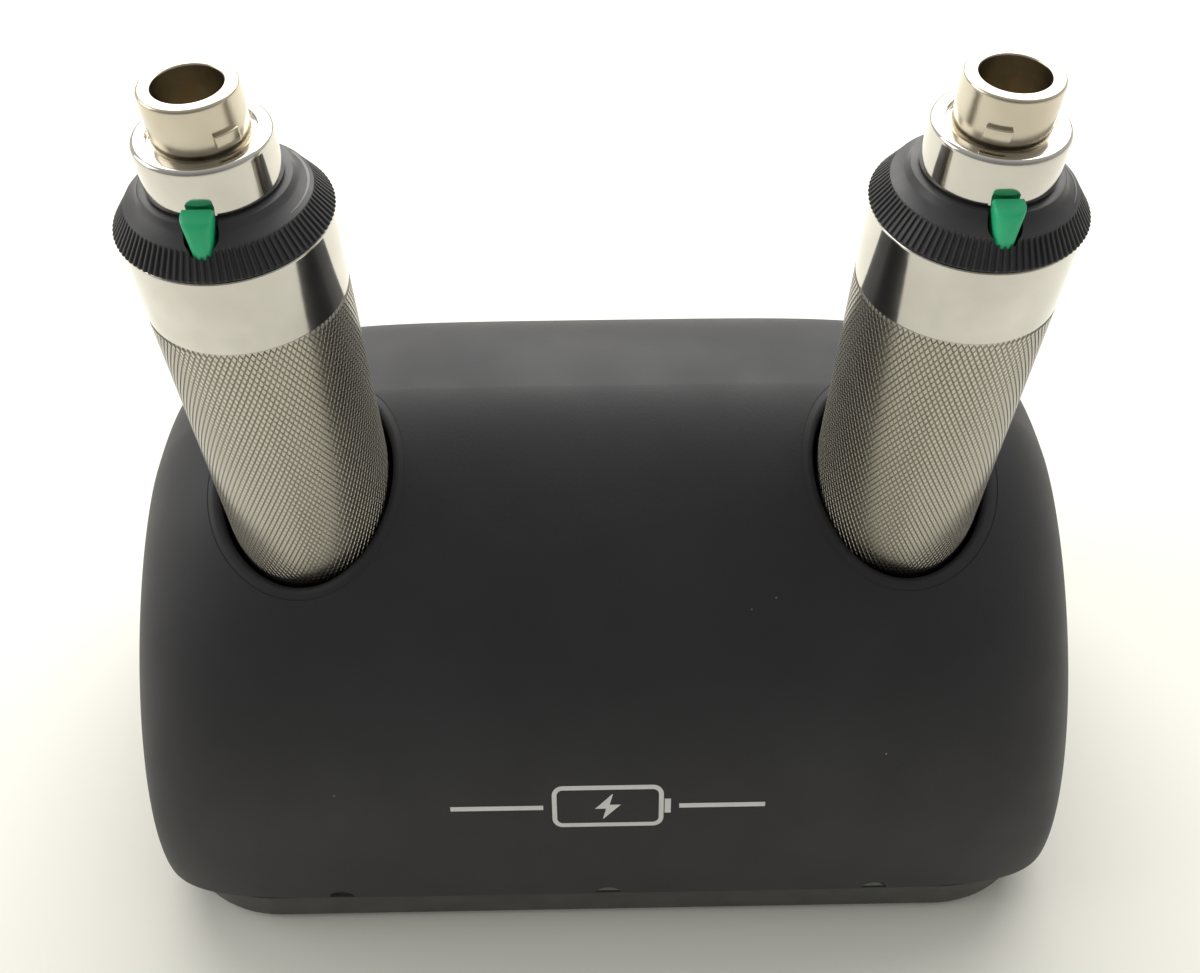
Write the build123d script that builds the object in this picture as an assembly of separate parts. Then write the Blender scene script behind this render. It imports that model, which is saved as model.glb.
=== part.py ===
from build123d import *
import math
import os

# Desk charging stand with two rechargeable diagnostic-instrument handles.
# Millimetres. X along the stand, Y towards its back, Z up.
# The origin is on the table, under the middle of the stand.

# ---- charging stand: driving dimensions ----
STAND_HALF_LENGTH = 88.4
STAND_HALF_DEPTH = 49.1
FOOT_HEIGHT = 1.2
PARTING_Z = 10.9          # where the cover ends and the base begins
PARTING_GAP = 0.4
COVER_HEIGHT = 77.3       # parting plane to crown
COVER_WALL = 2.4
CROWN_Y = 10.6            # the crown runs along X at this Y
SHOULDER_POWER = 4.4      # how square the cover is, seen from the front
PLAN_POWER = 9.4          # how square the cover is, seen from above
FRONT_POWERS = (1.6, 1.65)
BACK_POWERS = (2.7, 3.6)
BACK_SPACING = 1.5        # closer points low down on the upright back

# ---- wells ----
WELL_SPACING = 101.34
WELL_Y = -2.9
WELL_MOUTH_R = 15.1
WELL_MOUTH_ROUND = 1.1
LINER_R = 15.3
LINER_WALL = 1.2
LINER_FLOOR_Z = 9.6
LINER_FLOOR = 1.9
LINER_LEDGE = 1.2
LINER_SIDE_GAP = 0.3      # between the liner's top and the inside of the cover

# ---- base plate ----
BASE_INSET = 0.3
BASE_CORNER_R = 24.0
BASE_WALL = 2.2
BASE_FLOOR = 2.4
LIP_INSET = 2.7
LIP_WALL = 1.5
LIP_HEIGHT = 2.0
CORNER_WEB = 2.5          # the cover turns in over the base's rounder corners

# ---- board and its parts ----
BOARD_LENGTH = 132.0
BOARD_DEPTH = 86.0
BOARD_THICK = 1.6
BOARD_Z = 4.3
BOARD_SCREW_X = 58.0
BOARD_SCREW_Y = 38.0
CASE_SCREW_X = 74.0
CASE_SCREW_Y = 31.0
POST_R = 3.6
LAMP_XS = (-WELL_SPACING / 2, 0.0, WELL_SPACING / 2)
LAMP_NOTCH_R = 2.5
LAMP_LENS_R = 2.3
LAMP_LENS_BACK = -38.4
LAMP_Y = -40.0

# ---- power inlet, for a 5.5 mm barrel plug ----
INLET_BORE_R = 2.95
INLET_DEPTH = 9.5
INLET_PIN_R = 1.0
INLET_BODY = (9.0, 12.6, 11.0)

# ---- handle: driving dimensions ----
HANDLE_BOTTOM_Z = 13.0
HANDLE_R = 14.3           # knurled tube and collar
TUBE_WALL = 1.1
CAP_HEIGHT = 3.5
RING_Z = 135.2            # plane of the control ring's widest edge
RING_R = 14.7
RING_RUN = 0.07           # radial running clearance on the neck's stem
RING_UNDER = RING_Z - 0.15
COLLAR_TOP = RING_Z - 0.4
COLLAR_BOTTOM = RING_Z - 12.8
WEB_Z = RING_Z - 5.2
WEB_THICK = 1.5
NECK_R = 9.0
NECK_STEM_R = 8.4
NECK_BOTTOM = RING_Z + 6.0
NECK_TOP = RING_Z + 12.6
TIP_R = 6.3
TIP_SHANK_R = 6.0         # the part of the tip pressed into the neck
TIP_BORE_R = 4.45
TIP_SEAT_R = 4.25         # narrower bore that holds the insulator
TIP_TOP = RING_Z + 19.25
TIP_BOTTOM = RING_Z - 3.6
TIP_LEDGE = 1.5
GROOVE_R = 7.05
GROOVE_DEPTH = 0.8
INSULATOR_TOP = RING_Z + 7.0
INSULATOR_WEBS = (1.5, 1.2)
LUG_HEIGHT = 1.9
LUG_PROUD = 0.6
LUG_SPAN = 30.0           # degrees
LUG_TURN = {"left": 46.0, "right": -22.0}

# ---- small moving parts ----
BUTTON_WIDTH = 4.1
BUTTON_BACK_R = 9.35
BUTTON_FRONT_R = 12.75
BUTTON_NOSE_Y = -(BUTTON_FRONT_R - BUTTON_WIDTH / 2)
BUTTON_TOP = RING_Z + 7.5
BUTTON_BOTTOM = RING_Z + 1.9
BUTTON_GAP = 0.2
BUTTON_SPRING_Y = -10.95
POCKET_FLOOR = RING_Z + 0.55
PLUNGER_R = 1.5
PLUNGER_FLANGE = 0.9
CONDUCTOR_HEAD = 0.25
CELL_R = 12.7
CELL_BOTTOM = 47.0
CELL_TOP = 108.2
PIN_R = 1.0
PIN_TOP = 12.85
OUTER_PIN_REACH = 10.25

PARTS_FOLDER = "parts"


def rod(radius, low, high, x=0.0, y=0.0):
    """An upright solid cylinder between two heights."""
    base_centre = (Align.CENTER, Align.CENTER, Align.MIN)
    return Pos(x, y, low) * Cylinder(radius, high - low, align=base_centre)


def tube(outer, inner, low, high, x=0.0, y=0.0):
    """An upright tube between two heights."""
    return rod(outer, low, high, x, y) - rod(inner, low - 1, high + 1, x, y)


def block(size_x, size_y, low, high, x=0.0, y=0.0):
    """An upright rectangular block between two heights."""
    base_centre = (Align.CENTER, Align.CENTER, Align.MIN)
    return Pos(x, y, low) * Box(size_x, size_y, high - low, align=base_centre)


def turned(*profile):
    """A solid of revolution about Z from an outline of (radius, height) points."""
    outline = Polyline(*[(radius, 0, height) for radius, height in profile], close=True)
    return revolve(make_face(outline), Axis.Z)


def coil_spring(coil_r, wire_r, low, high, turns):
    """A round-wire compression spring about Z, between two heights."""
    height = high - low - 2 * wire_r
    path = Pos(0, 0, low + wire_r) * Helix(height / turns, height, coil_r)
    section = Plane(origin=path @ 0, z_dir=path % 0) * Circle(wire_r)
    return sweep(section, path=path, is_frenet=True)


def rounded_slab(inset, corner_r, low, high):
    """A flat slab with the stand's plan outline and rounded corners."""
    length = 2 * (STAND_HALF_LENGTH - BASE_INSET - inset)
    depth = 2 * (STAND_HALF_DEPTH - BASE_INSET - inset)
    outline = RectangleRounded(length, depth, corner_r)
    return Pos(0, 0, low) * extrude(outline, high - low)


# ---------------------------------------------------------------- cover

def cover_section(x, inset):
    """The cover's outline across the stand at one x: front curve, crown, back curve."""
    ratio = abs(x) / (STAND_HALF_LENGTH - inset)
    height = (COVER_HEIGHT - inset) * (1 - ratio**SHOULDER_POWER) ** (1 / SHOULDER_POWER)
    spread = (1 - ratio**PLAN_POWER) ** (1 / PLAN_POWER)
    front_reach = (STAND_HALF_DEPTH + CROWN_Y - inset) * spread
    back_reach = (STAND_HALF_DEPTH - CROWN_Y - inset) * spread
    steps = 10
    points = []
    for step in range(steps + 1):
        angle = math.radians(90 * step / steps)
        out = math.cos(angle) ** (2 / FRONT_POWERS[0])
        up = math.sin(angle) ** (2 / FRONT_POWERS[1])
        points.append((x, CROWN_Y - front_reach * out, PARTING_Z + height * up))
    for step in range(steps - 1, -1, -1):
        angle = math.radians(90 * (step / steps) ** BACK_SPACING)
        out = math.cos(angle) ** (2 / BACK_POWERS[0])
        up = math.sin(angle) ** (2 / BACK_POWERS[1])
        points.append((x, CROWN_Y + back_reach * out, PARTING_Z + height * up))
    arch = Spline(*points, tangents=[(0, 0, 1), (0, 0, -1)])
    return Face(Wire([arch, Line(points[-1], points[0])]))


def cover_body(inset):
    """The whole soft-cornered body as one solid, drawn in by inset all round."""
    steps = 12
    end_angle = 5.0
    half = []
    for step in range(steps):
        angle = math.radians(end_angle + (90 - end_angle) * step / steps)
        half.append((STAND_HALF_LENGTH - inset) * math.cos(angle) ** (2 / SHOULDER_POWER))
    stations = [-x for x in half] + [0.0] + half[::-1]
    return loft([cover_section(x, inset) for x in stations])


def make_top_cover(outer, inner):
    """Moulded shell with two wells, screw posts, lamp notches and the inlet's cut-out."""
    web_fill = rounded_slab(-20, BASE_CORNER_R, PARTING_Z - 1, PARTING_Z + CORNER_WEB)
    web_top = PARTING_Z + CORNER_WEB + 1
    web_fill -= rounded_slab(COVER_WALL, BASE_CORNER_R - COVER_WALL, PARTING_Z - 2, web_top)
    cover = outer - (inner - web_fill)
    for side in (-1, 1):
        cover -= rod(WELL_MOUTH_R, 0, 200, side * WELL_SPACING / 2, WELL_Y)
    mouths = [
        edge
        for edge in cover.edges()
        if abs(edge.bounding_box().size.X - 2 * WELL_MOUTH_R) < 0.1
        or abs(edge.bounding_box().size.Y - 2 * WELL_MOUTH_R) < 0.1
    ]
    outer_mouths = sorted(mouths, key=lambda edge: edge.center().Z)[-2:]
    cover = fillet(outer_mouths, WELL_MOUTH_ROUND)
    posts = Part()
    for x in (-CASE_SCREW_X, CASE_SCREW_X):
        for y in (-CASE_SCREW_Y, CASE_SCREW_Y):
            posts += rod(POST_R, PARTING_Z, 200, x, y) & outer
            posts -= rod(1.25, PARTING_Z - 1, PARTING_Z + 12, x, y)
    cover += posts
    for x in (-CASE_SCREW_X, CASE_SCREW_X):
        for y in (-CASE_SCREW_Y, CASE_SCREW_Y):
            cover -= rod(1.25, PARTING_Z - 1, PARTING_Z + 12, x, y)
    for x in LAMP_XS:
        notch = Rot(90, 0, 0) * Cylinder(LAMP_NOTCH_R, 8)
        cover -= Pos(x, -STAND_HALF_DEPTH + 2, PARTING_Z) * notch
    width, depth, height = INLET_BODY
    top = BOARD_Z + BOARD_THICK + height + 0.3
    cover -= block(width + 0.6, 12, PARTING_Z - 1, top, 0, STAND_HALF_DEPTH)
    return cover


# ---------------------------------------------------------------- base

def make_base_plate():
    """Tray under the stand, with a locating lip, screw bosses and board posts."""
    top = PARTING_Z - PARTING_GAP
    floor = FOOT_HEIGHT + BASE_FLOOR
    tray = rounded_slab(0, BASE_CORNER_R, FOOT_HEIGHT, top)
    tray = chamfer(tray.edges().group_by(Axis.Z)[0], 0.8)
    tray -= rounded_slab(BASE_WALL, BASE_CORNER_R - BASE_WALL, floor, top + 1)
    lip = rounded_slab(LIP_INSET, BASE_CORNER_R - LIP_INSET, floor, top + LIP_HEIGHT)
    lip_inside = LIP_INSET + LIP_WALL
    lip -= rounded_slab(lip_inside, BASE_CORNER_R - lip_inside, floor - 1, top + 9)
    tray += lip
    rib = rounded_slab(BASE_WALL - 0.1, BASE_CORNER_R - BASE_WALL, floor, top)
    rib -= rounded_slab(LIP_INSET + 0.1, BASE_CORNER_R - LIP_INSET, floor - 1, top + 1)
    tray += rib
    for x in (-CASE_SCREW_X, CASE_SCREW_X):
        for y in (-CASE_SCREW_Y, CASE_SCREW_Y):
            tray += rod(POST_R, floor, PARTING_Z - 0.1, x, y)
            tray -= rod(1.7, 0, PARTING_Z + 1, x, y)
            tray -= rod(3.1, 0, floor + 0.4, x, y)
    for x in (-BOARD_SCREW_X, BOARD_SCREW_X):
        for y in (-BOARD_SCREW_Y, BOARD_SCREW_Y):
            tray += rod(2.4, floor - 0.5, BOARD_Z, x, y)
            tray -= rod(0.9, FOOT_HEIGHT + 0.8, BOARD_Z + 1, x, y)
    for x in LAMP_XS:
        tray -= block(2 * LAMP_LENS_R + 0.8, 9, top, top + 5, x, -STAND_HALF_DEPTH + 4)
    tray -= block(INLET_BODY[0] + 0.6, 16, BOARD_Z - 0.3, top + 5, 0, STAND_HALF_DEPTH)
    return tray


def make_rubber_feet():
    """Four round pads under the base."""
    feet = Part()
    for x in (-58.0, 58.0):
        for y in (-32.0, 32.0):
            feet += chamfer(rod(6.0, 0, FOOT_HEIGHT, x, y).edges().group_by(Axis.Z)[0], 0.4)
    return feet


def screw(head_r, shank_r, head_low, head_high, tip_z, x, y):
    """A cross-recess screw, head down, shank up."""
    body = rod(head_r, head_low, head_high, x, y) + rod(shank_r, head_high, tip_z, x, y)
    for turn in (0, 90):
        slot = Rot(0, 0, turn) * Box(head_r, 0.5, 1.6)
        body -= Pos(x, y, head_low) * slot
    return body


def make_case_screws():
    """Four screws that hold the base to the cover's posts."""
    screws = Part()
    for x in (-CASE_SCREW_X, CASE_SCREW_X):
        for y in (-CASE_SCREW_Y, CASE_SCREW_Y):
            screws += screw(2.8, 1.2, FOOT_HEIGHT + 0.8, FOOT_HEIGHT + 2.8, PARTING_Z + 9, x, y)
    return screws


# ---------------------------------------------------------------- wells

def make_well_liner(inner_trim, x):
    """Cup that holds one handle: wall, floor, seat ledge and two pin holes."""
    board_top = BOARD_Z + BOARD_THICK
    floor_top = LINER_FLOOR_Z + LINER_FLOOR
    wall = tube(LINER_R + LINER_WALL, LINER_R, board_top, 120, x, WELL_Y) & inner_trim
    skirt = tube(LINER_R + LINER_WALL, LINER_R, board_top, PARTING_Z + 1, x, WELL_Y)
    floor = rod(LINER_R + 0.1, LINER_FLOOR_Z, floor_top, x, WELL_Y)
    ledge = tube(LINER_R + 0.1, 12.2, floor_top - 0.1, floor_top + LINER_LEDGE, x, WELL_Y)
    liner = wall + skirt + floor + ledge
    for reach in (0.0, OUTER_PIN_REACH):
        liner -= rod(PIN_R + 0.08, 0, 50, x, WELL_Y + reach)
    return liner


def make_charge_pin():
    """Spring-loaded contact pin: domed head, shoulder and a tail inside its spring."""
    pin = rod(PIN_R, 9.0, PIN_TOP) + rod(1.6, 8.5, 9.0) + rod(0.7, 7.2, 8.5)
    return fillet(pin.edges().group_by(Axis.Z)[-1], 0.6)


def make_pin_spring():
    """Spring between the board and the pin's shoulder."""
    return coil_spring(1.15, 0.16, BOARD_Z + BOARD_THICK, 8.48, 5)


# ---------------------------------------------------------------- electronics

def make_circuit_board():
    """Board on the base's posts, notched round the case screws' posts."""
    board = block(BOARD_LENGTH, BOARD_DEPTH, BOARD_Z, BOARD_Z + BOARD_THICK)
    for x in (-BOARD_SCREW_X, BOARD_SCREW_X):
        for y in (-BOARD_SCREW_Y, BOARD_SCREW_Y):
            board -= rod(1.2, 0, 20, x, y)
    return board


def make_board_screws():
    """Four small screws that hold the board."""
    board_top = BOARD_Z + BOARD_THICK
    screws = Part()
    for x in (-BOARD_SCREW_X, BOARD_SCREW_X):
        for y in (-BOARD_SCREW_Y, BOARD_SCREW_Y):
            screws += rod(1.9, board_top, board_top + 1.3, x, y)
            screws += rod(0.85, FOOT_HEIGHT + 1.0, board_top + 0.1, x, y)
    return screws


def make_capacitor():
    """Upright can capacitor."""
    board_top = BOARD_Z + BOARD_THICK
    can = rod(5.0, board_top, board_top + 16, 16, 20)
    return fillet(can.edges().group_by(Axis.Z)[-1], 0.7)


def make_regulators():
    """Two charge regulators, one for each well, with their tabs."""
    board_top = BOARD_Z + BOARD_THICK
    pair = Part()
    for x in (-24.0, 24.0):
        pair += block(10, 4.5, board_top + 3, board_top + 12, x, 2)
        pair += block(10, 1.3, board_top + 12, board_top + 18, x, 3.6)
        for lead in (-2.54, 0, 2.54):
            pair += block(0.8, 0.6, board_top, board_top + 3.1, x + lead, 2)
    return pair


def make_lamps():
    """Three surface-mounted indicator lamps near the board's front edge."""
    board_top = BOARD_Z + BOARD_THICK
    lamps = Part()
    for x in LAMP_XS:
        lamps += block(2.8, 3.2, board_top, board_top + 1.0, x, LAMP_Y)
    return lamps


def make_lamp_lenses():
    """Three light pipes from the lamps up and out to the notches in the front edge."""
    board_top = BOARD_Z + BOARD_THICK
    front = -STAND_HALF_DEPTH + 0.5
    lenses = Part()
    for x in LAMP_XS:
        bar = Rot(90, 0, 0) * Cylinder(LAMP_LENS_R, LAMP_LENS_BACK - front)
        bar = Pos(x, (front + LAMP_LENS_BACK) / 2, PARTING_Z) * bar
        bar &= block(10, 30, PARTING_Z + 0.05, PARTING_Z + 5, x, -44)
        leg = block(3.2, 3.2, board_top + 1.3, PARTING_Z + 0.3, x, LAMP_Y)
        lenses += bar + leg
    return lenses


def make_power_inlet():
    """Barrel jack facing the back, with its centre pin."""
    width, depth, height = INLET_BODY
    low = BOARD_Z + BOARD_THICK
    back = STAND_HALF_DEPTH - 0.4
    axis_z = low + 6.2
    jack = block(width, depth, low, low + height, 0, back - depth / 2)
    bore = Rot(90, 0, 0) * Cylinder(INLET_BORE_R, INLET_DEPTH)
    jack -= Pos(0, back - INLET_DEPTH / 2, axis_z) * bore
    pin = Rot(90, 0, 0) * Cylinder(INLET_PIN_R, INLET_DEPTH)
    return jack + Pos(0, back - INLET_DEPTH / 2 - 1.5, axis_z) * pin


# ---------------------------------------------------------------- handle

def make_battery_tube():
    """Long tube that is the grip and the battery case."""
    low = HANDLE_BOTTOM_Z + CAP_HEIGHT
    return tube(HANDLE_R, HANDLE_R - TUBE_WALL, low, COLLAR_BOTTOM)


def make_end_cap():
    """Insulating plug in the tube's lower end, with seats for both contacts."""
    low = HANDLE_BOTTOM_Z
    flange = chamfer(rod(HANDLE_R, low, low + CAP_HEIGHT).edges().group_by(Axis.Z)[0], 0.8)
    cap = flange + rod(HANDLE_R - TUBE_WALL - 0.1, low, low + 7)
    cap -= rod(3.6, low - 1, low + 8)
    return cap - tube(11.6, 8.9, low - 1, low + 1.2)


def make_charge_button():
    """Centre contact through the end cap."""
    low = HANDLE_BOTTOM_Z
    return rod(3.5, low + 0.1, low + 7) + rod(6.0, low + 7, low + 7.6)


def make_charge_ring():
    """Ring contact let into the end cap's underside."""
    return tube(11.5, 9.0, HANDLE_BOTTOM_Z + 0.1, HANDLE_BOTTOM_Z + 1.2)


def make_battery_spring():
    """Spring that pushes the cell up against the centre conductor."""
    return coil_spring(7.5, 0.55, HANDLE_BOTTOM_Z + 7.6, CELL_BOTTOM - 0.1, 6)


def make_battery_cell():
    """Rechargeable cell with its raised positive end."""
    shoulder = CELL_TOP - 1.2
    can = rod(CELL_R, CELL_BOTTOM, shoulder)
    can = fillet(can.edges().group_by(Axis.Z)[0] + can.edges().group_by(Axis.Z)[-1], 1.0)
    return can + rod(3.2, shoulder - 0.5, CELL_TOP)


def make_contact_carrier():
    """Insulating disc under the collar's web that centres the conductor."""
    return rod(12.3, WEB_Z - 4, WEB_Z) - rod(0.95, 0, 200)


def make_conductor_rod():
    """Centre conductor from the cell to the plunger's spring."""
    seat = TIP_BOTTOM + TIP_LEDGE + INSULATOR_WEBS[0]
    lower_head = rod(3.5, CELL_TOP, CELL_TOP + 1)
    return lower_head + rod(0.9, CELL_TOP, seat + 0.1) + rod(2.4, seat, seat + CONDUCTOR_HEAD)


def make_upper_collar():
    """Smooth collar: skirt inside the tube, web, and a recess for the resistor."""
    outside = chamfer(rod(HANDLE_R, COLLAR_BOTTOM, COLLAR_TOP).edges().group_by(Axis.Z)[-1], 0.4)
    collar = outside + rod(HANDLE_R - TUBE_WALL - 0.1, COLLAR_BOTTOM - 6, COLLAR_BOTTOM + 0.1)
    collar -= rod(12.4, 0, WEB_Z)
    collar -= rod(13.0, WEB_Z + WEB_THICK, COLLAR_TOP + 1)
    return collar - rod(7.0, 0, 200)


def make_resistor_disc():
    """Resistive track on an open ring, at the bottom of the collar's recess."""
    low = WEB_Z + WEB_THICK
    disc = tube(12.8, 8.8, low, low + 1.1)
    return disc - block(3.0, 6.0, low - 1, low + 3, 0, 11)


def make_wiper():
    """Contact finger under the ring that slides on the resistor."""
    track_top = WEB_Z + WEB_THICK + 1.1
    finger = block(2.4, 2.6, RING_UNDER - 0.5, RING_UNDER, 0, -10.9)
    finger += block(2.4, 0.5, track_top + 0.15, RING_UNDER - 0.4, 0, -11.9)
    return finger + block(2.4, 1.4, track_top + 0.15, track_top + 0.6, 0, -11.4)


def make_rheostat_ring():
    """Turning brightness ring: sloping grip, smooth upper land and button pocket."""
    bore = NECK_STEM_R + RING_RUN
    ring = turned(
        (bore, RING_UNDER),
        (RING_R - 0.45, RING_UNDER),
        (RING_R, RING_Z + 0.15),
        (RING_R, RING_Z + 0.35),
        (12.36, RING_Z + 3.57),
        (11.4, RING_Z + 4.1),
        (10.5, RING_Z + 4.85),
        (10.1, RING_Z + 5.65),
        (9.3, RING_Z + 5.72),
        (bore, RING_Z + 5.72),
    )
    nose_r = BUTTON_WIDTH / 2 + BUTTON_GAP
    pocket_back = -(BUTTON_BACK_R - BUTTON_GAP)
    pocket_y = (pocket_back + BUTTON_NOSE_Y) / 2
    pocket = block(2 * nose_r, pocket_back - BUTTON_NOSE_Y, POCKET_FLOOR, RING_Z + 9, 0, pocket_y)
    nose = rod(nose_r, POCKET_FLOOR, RING_Z + 9, 0, BUTTON_NOSE_Y)
    pocket += nose - block(9, 9, 0, 200, 0, pocket_back + 4.5)
    return ring - pocket


def make_lock_button():
    """Push button in the ring: flat top, round sloping nose, blind hole for its spring."""
    middle_y = (BUTTON_NOSE_Y - BUTTON_BACK_R) / 2
    reach = -BUTTON_NOSE_Y - BUTTON_BACK_R
    body = block(BUTTON_WIDTH, reach, BUTTON_BOTTOM, BUTTON_TOP, 0, middle_y)
    nose = rod(BUTTON_WIDTH / 2, BUTTON_BOTTOM, BUTTON_TOP, 0, BUTTON_NOSE_Y)
    body += nose - block(9, 9, 0, 200, 0, -BUTTON_BACK_R + 4.5)
    slope = Plane.YZ * make_face(
        Polyline(
            (-BUTTON_FRONT_R - 1, RING_Z + 2.0),
            (-BUTTON_FRONT_R - 0.1, RING_Z + 2.6),
            (-12.3, RING_Z + 4.4),
            (-11.8, RING_Z + 5.8),
            (-11.35, RING_Z + 7.0),
            (-11.0, BUTTON_TOP + 0.01),
            (-11.0, BUTTON_TOP + 2),
            (-BUTTON_FRONT_R - 1, BUTTON_TOP + 2),
            close=True,
        )
    )
    body -= extrude(slope, 4, both=True)
    return body - rod(1.1, BUTTON_BOTTOM - 1, RING_Z + 3.9, 0, BUTTON_SPRING_Y)


def make_button_spring():
    """Return spring under the lock button."""
    spring = coil_spring(0.8, 0.15, POCKET_FLOOR + 0.02, RING_Z + 3.88, 5)
    return Pos(0, BUTTON_SPRING_Y, 0) * spring


def make_neck():
    """Bright neck: a stem the ring turns on, a shoulder and a rounded top edge."""
    neck = turned(
        (TIP_SHANK_R, WEB_Z + WEB_THICK),
        (NECK_STEM_R, WEB_Z + WEB_THICK),
        (NECK_STEM_R, NECK_BOTTOM),
        (NECK_R, NECK_BOTTOM),
        (NECK_R, NECK_TOP),
        (TIP_SHANK_R, NECK_TOP),
    )
    rim = neck.edges().group_by(Axis.Z)[-1].sort_by(SortBy.LENGTH)[-1]
    neck = fillet(rim, 0.8)
    return neck - rod(GROOVE_R, NECK_TOP - GROOVE_DEPTH, NECK_TOP + 1)


def make_bayonet_tip(lug_turn):
    """Hollow plated post with a rounded mouth and two bayonet lugs."""
    tip = rod(TIP_R, NECK_TOP - GROOVE_DEPTH, TIP_TOP) + rod(TIP_SHANK_R, TIP_BOTTOM, NECK_TOP)
    tip -= rod(TIP_BORE_R, INSULATOR_TOP, TIP_TOP + 1)
    rims = tip.edges().group_by(Axis.Z)[-1].sort_by(SortBy.LENGTH)
    tip = fillet(rims[-1], 0.55)
    tip = fillet(tip.edges().group_by(Axis.Z)[-1].sort_by(SortBy.LENGTH)[0], 0.3)
    tip -= rod(TIP_SEAT_R, TIP_BOTTOM + TIP_LEDGE, INSULATOR_TOP + 1)
    tip -= rod(3.0, 0, TIP_BOTTOM + TIP_LEDGE + 1)
    low = NECK_TOP + 0.9
    for turn in (lug_turn, lug_turn + 180):
        lug_ring = tube(TIP_R + LUG_PROUD, TIP_R - 0.3, low, low + LUG_HEIGHT)
        half = math.radians(LUG_SPAN / 2)
        wedge = make_face(
            Polyline(
                (0, 0),
                (-20 * math.sin(half), -20 * math.cos(half)),
                (20 * math.sin(half), -20 * math.cos(half)),
                close=True,
            )
        )
        lug = lug_ring & (Pos(0, 0, low - 1) * extrude(wedge, LUG_HEIGHT + 2))
        tip += Rot(0, 0, turn) * lug
    return tip


def make_tip_insulator():
    """Insulating sleeve in the tip: cavity for the spring, hole for the plunger."""
    low = TIP_BOTTOM + TIP_LEDGE
    lower_web, upper_web = INSULATOR_WEBS
    sleeve = rod(TIP_SEAT_R, low, INSULATOR_TOP)
    sleeve -= rod(2.9, low + lower_web, INSULATOR_TOP - upper_web)
    sleeve -= rod(PLUNGER_R + 0.08, INSULATOR_TOP - upper_web - 1, INSULATOR_TOP + 1)
    return sleeve - rod(1.1, low - 1, low + lower_web + 1)


def make_tip_plunger():
    """Spring-loaded centre contact of the tip, with its retaining flange."""
    flange_top = INSULATOR_TOP - INSULATOR_WEBS[1] - 0.3
    flange_low = flange_top - PLUNGER_FLANGE
    plunger = rod(PLUNGER_R, flange_low, INSULATOR_TOP - 0.1) + rod(2.6, flange_low, flange_top)
    return fillet(plunger.edges().group_by(Axis.Z)[-1], 0.9)


def make_plunger_spring():
    """Spring between the conductor's head and the plunger's flange."""
    low = TIP_BOTTOM + TIP_LEDGE + INSULATOR_WEBS[0] + CONDUCTOR_HEAD
    high = INSULATOR_TOP - INSULATOR_WEBS[1] - 0.3 - PLUNGER_FLANGE
    return coil_spring(1.9, 0.22, low + 0.02, high - 0.02, 5)


HANDLE_PIECES = {
    "battery_tube": make_battery_tube,
    "end_cap": make_end_cap,
    "charge_button": make_charge_button,
    "charge_ring": make_charge_ring,
    "battery_spring": make_battery_spring,
    "battery_cell": make_battery_cell,
    "contact_carrier": make_contact_carrier,
    "conductor_rod": make_conductor_rod,
    "upper_collar": make_upper_collar,
    "resistor_disc": make_resistor_disc,
    "wiper": make_wiper,
    "rheostat_ring": make_rheostat_ring,
    "lock_button": make_lock_button,
    "button_spring": make_button_spring,
    "neck": make_neck,
    "tip_insulator": make_tip_insulator,
    "tip_plunger": make_tip_plunger,
    "plunger_spring": make_plunger_spring,
}

STAND_PIECES = {
    "base_plate": make_base_plate,
    "rubber_feet": make_rubber_feet,
    "case_screws": make_case_screws,
    "circuit_board": make_circuit_board,
    "board_screws": make_board_screws,
    "capacitor": make_capacitor,
    "regulators": make_regulators,
    "lamps": make_lamps,
    "lamp_lenses": make_lamp_lenses,
    "power_inlet": make_power_inlet,
}


def save(name, shape):
    """Write one piece to its own STEP file."""
    export_step(shape, f"{PARTS_FOLDER}/{name}.step")


os.makedirs(PARTS_FOLDER, exist_ok=True)

for name, make in STAND_PIECES.items():
    save(name, make())

outer_body = cover_body(0)
inner_body = cover_body(COVER_WALL)
liner_trim = cover_body(COVER_WALL + LINER_SIDE_GAP)
save("top_cover", make_top_cover(outer_body, inner_body))

handle_shapes = {name: make() for name, make in HANDLE_PIECES.items()}
charge_pin = make_charge_pin()
pin_spring = make_pin_spring()

for side, sign in (("left", -1), ("right", 1)):
    well_x = sign * WELL_SPACING / 2
    save(f"{side}_well_liner", make_well_liner(liner_trim, well_x))
    for pin_name, reach in (("centre", 0.0), ("outer", OUTER_PIN_REACH)):
        place = Pos(well_x, WELL_Y + reach, 0)
        save(f"{side}_{pin_name}_pin", place * charge_pin)
        save(f"{side}_{pin_name}_pin_spring", place * pin_spring)
    place = Pos(well_x, WELL_Y, 0)
    for name, shape in handle_shapes.items():
        save(f"{side}_{name}", place * shape)
    save(f"{side}_bayonet_tip", place * make_bayonet_tip(LUG_TURN[side]))
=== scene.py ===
import math

import bmesh
import bpy
from bpy.props import (
    FloatProperty, FloatVectorProperty, IntProperty, PointerProperty, StringProperty,
)
from bpy.types import Operator, Panel, PropertyGroup
from mathutils import Matrix, Vector


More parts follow.
